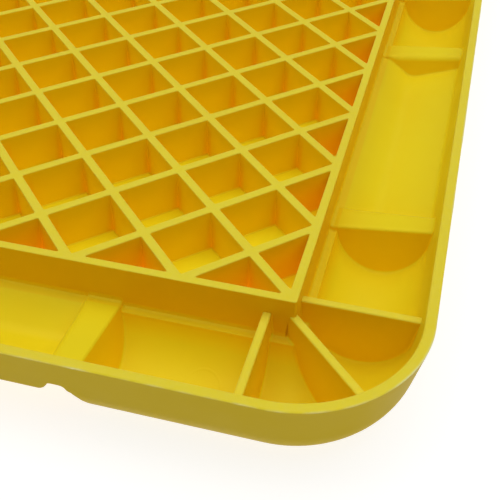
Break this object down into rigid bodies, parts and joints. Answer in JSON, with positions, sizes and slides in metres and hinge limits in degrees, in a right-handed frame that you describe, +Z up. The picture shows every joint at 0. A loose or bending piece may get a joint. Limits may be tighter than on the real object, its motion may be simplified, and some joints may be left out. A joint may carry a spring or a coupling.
{
  "type": "queen excluder",
  "caption": "Moulded plastic hive board with a waffle of diagonal cells, straight inner walls and a rounded hollow border.",
  "frame": {"origin": "under the middle of the board, on the surface that its beads rest on", "axes": "+Z up, out of the ribbed side; +Y along the long side; +X across the short side"},
  "size_m": [0.4142, 0.5076, 0.0264],
  "materials": {
    "yellow_plastic": "yellow injection-moulded plastic with a soft satin sheen"
  },
  "bodies": {
    "root": {"cell_lattice": "yellow_plastic", "corner_trough_back_left": "yellow_plastic", "corner_trough_back_right": "yellow_plastic", "corner_trough_front_left": "yellow_plastic", "corner_trough_front_right": "yellow_plastic", "cross_rib_back_left_back": "yellow_plastic", "cross_rib_back_left_left": "yellow_plastic", "cross_rib_back_right_back": "yellow_plastic", "cross_rib_back_right_right": "yellow_plastic", "cross_rib_front_left_front": "yellow_plastic", "cross_rib_front_left_left": "yellow_plastic", "cross_rib_front_right_front": "yellow_plastic", "cross_rib_front_right_right": "yellow_plastic", "diagonal_rib_back_left": "yellow_plastic", "diagonal_rib_back_right": "yellow_plastic", "diagonal_rib_front_left": "yellow_plastic", "diagonal_rib_front_right": "yellow_plastic", "floor_panel": "yellow_plastic", "grip_recess_back_1": "yellow_plastic", "grip_recess_back_2": "yellow_plastic", "grip_recess_front_1": "yellow_plastic", "grip_recess_front_2": "yellow_plastic", "grip_recess_left_1": "yellow_plastic", "grip_recess_left_2": "yellow_plastic", "grip_recess_right_1": "yellow_plastic", "grip_recess_right_2": "yellow_plastic", "inner_wall_back": "yellow_plastic", "inner_wall_front": "yellow_plastic", "inner_wall_left": "yellow_plastic", "inner_wall_right": "yellow_plastic", "middle_trough_left_1": "yellow_plastic", "middle_trough_left_2": "yellow_plastic", "middle_trough_right_1": "yellow_plastic", "middle_trough_right_2": "yellow_plastic", "rim_back": "yellow_plastic", "rim_corner_back_left": "yellow_plastic", "rim_corner_back_right": "yellow_plastic", "rim_corner_front_left": "yellow_plastic", "rim_corner_front_right": "yellow_plastic", "rim_front": "yellow_plastic", "rim_left": "yellow_plastic", "rim_right": "yellow_plastic", "saddle_back_1": "yellow_plastic", "saddle_back_2": "yellow_plastic", "saddle_back_3": "yellow_plastic", "saddle_front_1": "yellow_plastic", "saddle_front_2": "yellow_plastic", "saddle_front_3": "yellow_plastic", "saddle_left_1": "yellow_plastic", "saddle_left_2": "yellow_plastic", "saddle_left_3": "yellow_plastic", "saddle_left_4": "yellow_plastic", "saddle_left_5": "yellow_plastic", "saddle_right_1": "yellow_plastic", "saddle_right_2": "yellow_plastic", "saddle_right_3": "yellow_plastic", "saddle_right_4": "yellow_plastic", "saddle_right_5": "yellow_plastic"}
  },
  "joints": []
}
